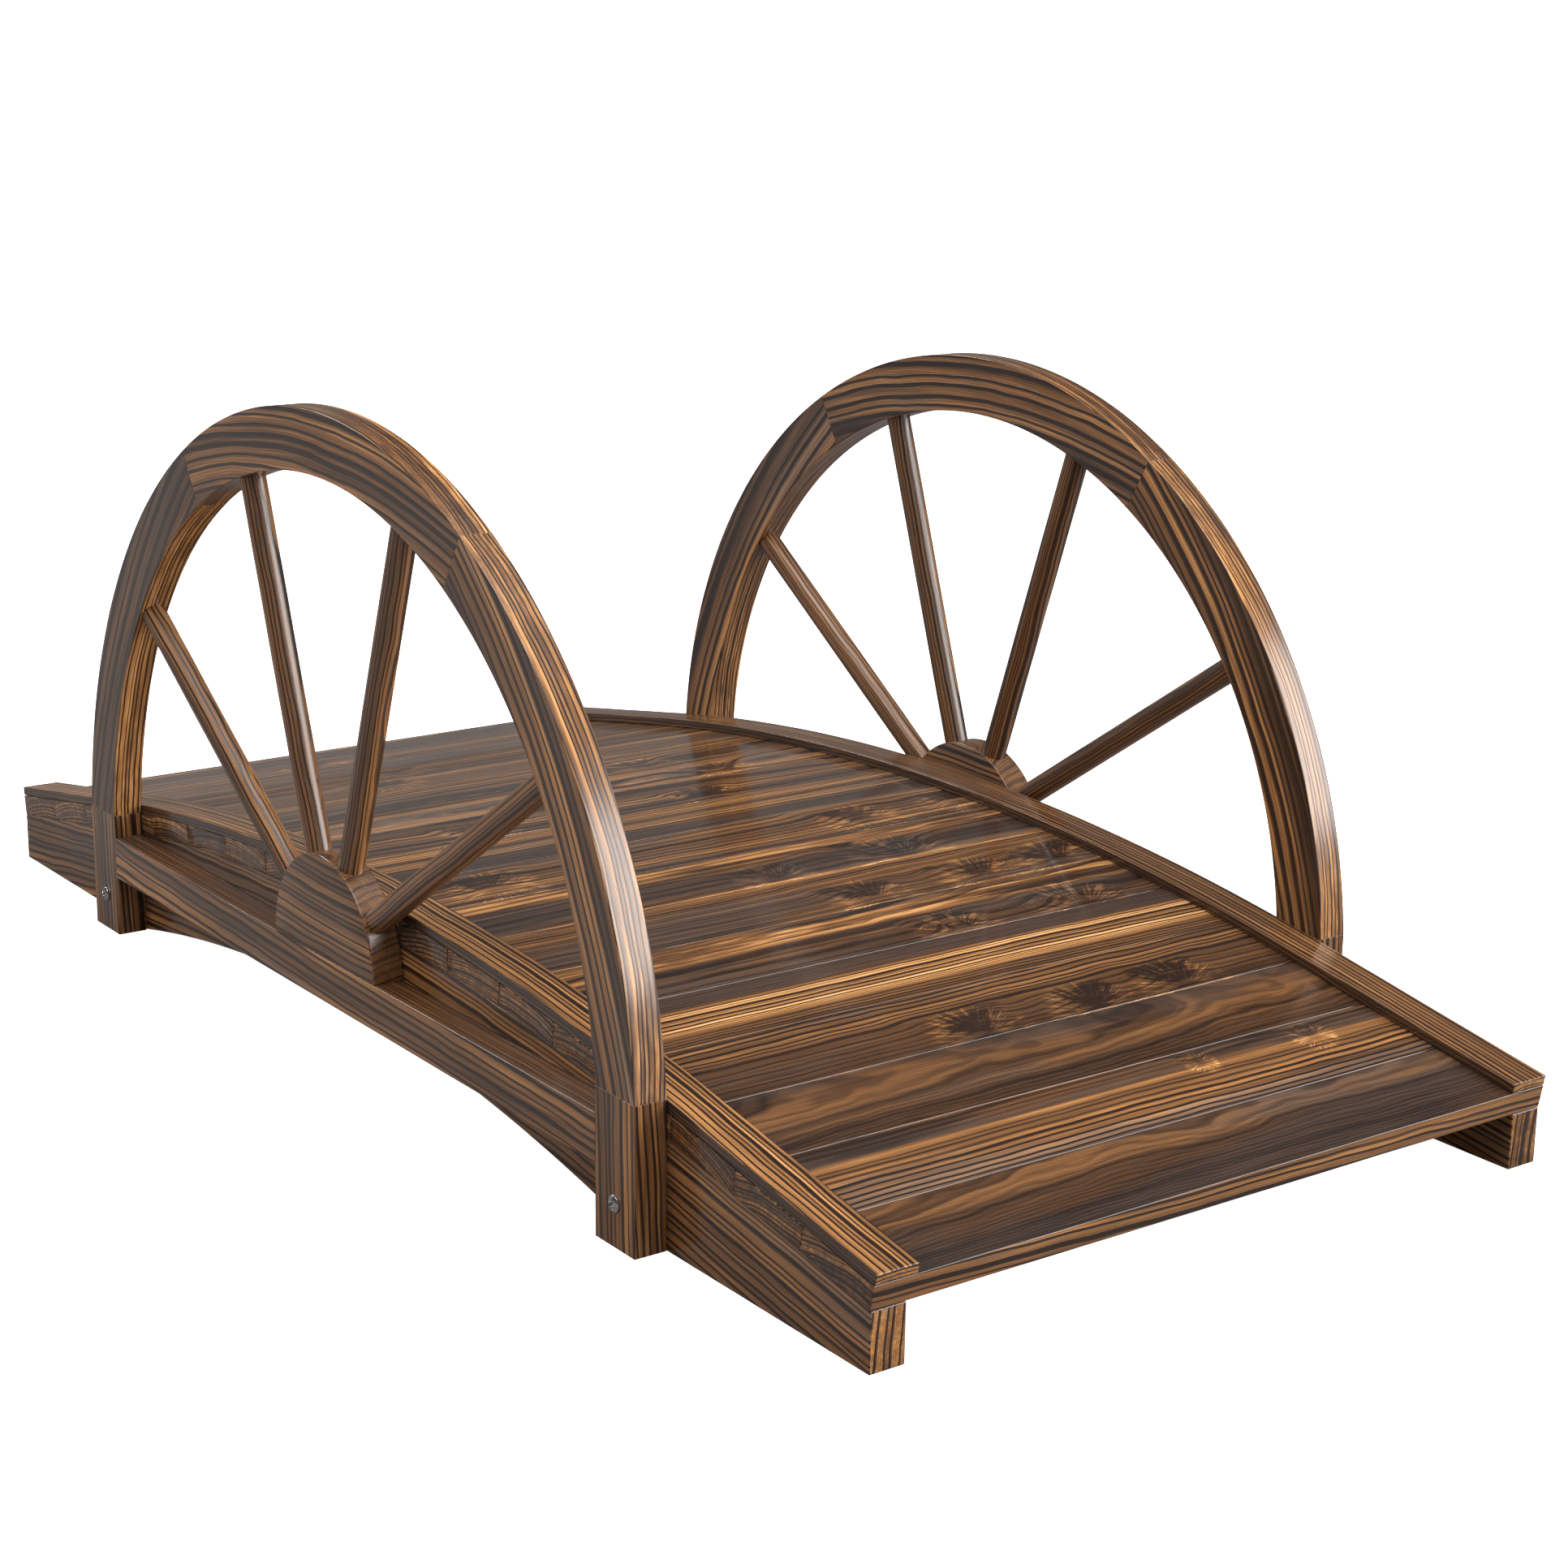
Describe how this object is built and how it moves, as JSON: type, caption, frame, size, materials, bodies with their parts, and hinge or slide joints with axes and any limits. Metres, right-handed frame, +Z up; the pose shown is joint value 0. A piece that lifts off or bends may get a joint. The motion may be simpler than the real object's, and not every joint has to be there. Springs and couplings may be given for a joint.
{
  "type": "wooden garden footbridge with half wagon wheel railings",
  "caption": "Small arched garden footbridge of stained wood: slatted deck on two sawn stringers, edge kerbs and a half wagon wheel as the railing on each side.",
  "frame": {"origin": "on the ground under the middle of the bridge", "axes": "+X runs along the bridge, +Y across it, +Z up"},
  "size_m": [1.0068, 0.5042, 0.3867],
  "materials": {
    "stained_fir_dark": "semi-gloss stain",
    "stained_fir_brown": "semi-gloss stain",
    "stained_fir_light": "semi-gloss stain",
    "screw_steel": "polished"
  },
  "bodies": {
    "root": {"right_stringer": "stained_fir_brown", "left_stringer": "stained_fir_brown", "deck_board_01": "stained_fir_dark", "deck_board_02": "stained_fir_brown", "deck_board_03": "stained_fir_dark", "deck_board_04": "stained_fir_brown", "deck_board_05": "stained_fir_dark", "deck_board_06": "stained_fir_brown", "deck_board_07": "stained_fir_dark", "deck_board_08": "stained_fir_brown", "deck_board_09": "stained_fir_dark", "deck_board_10": "stained_fir_brown", "deck_board_11": "stained_fir_dark", "deck_board_12": "stained_fir_brown", "deck_board_13": "stained_fir_dark", "deck_board_14": "stained_fir_brown", "deck_board_15": "stained_fir_dark", "deck_board_16": "stained_fir_brown", "deck_board_17": "stained_fir_dark", "deck_board_18": "stained_fir_brown", "right_kerb": "stained_fir_light", "left_kerb": "stained_fir_light", "right_felloe_1": "stained_fir_brown", "right_felloe_2": "stained_fir_brown", "right_felloe_3": "stained_fir_brown", "left_felloe_1": "stained_fir_brown", "left_felloe_2": "stained_fir_brown", "left_felloe_3": "stained_fir_brown", "right_front_post": "stained_fir_brown", "right_back_post": "stained_fir_brown", "left_front_post": "stained_fir_brown", "left_back_post": "stained_fir_brown", "right_rail": "stained_fir_brown", "left_rail": "stained_fir_brown", "right_hub": "stained_fir_brown", "left_hub": "stained_fir_brown", "right_spoke_1": "stained_fir_dark", "right_spoke_2": "stained_fir_dark", "right_spoke_3": "stained_fir_dark", "right_spoke_4": "stained_fir_dark", "left_spoke_1": "stained_fir_dark", "left_spoke_2": "stained_fir_dark", "left_spoke_3": "stained_fir_dark", "left_spoke_4": "stained_fir_dark", "post_screws": "screw_steel"}
  },
  "joints": []
}
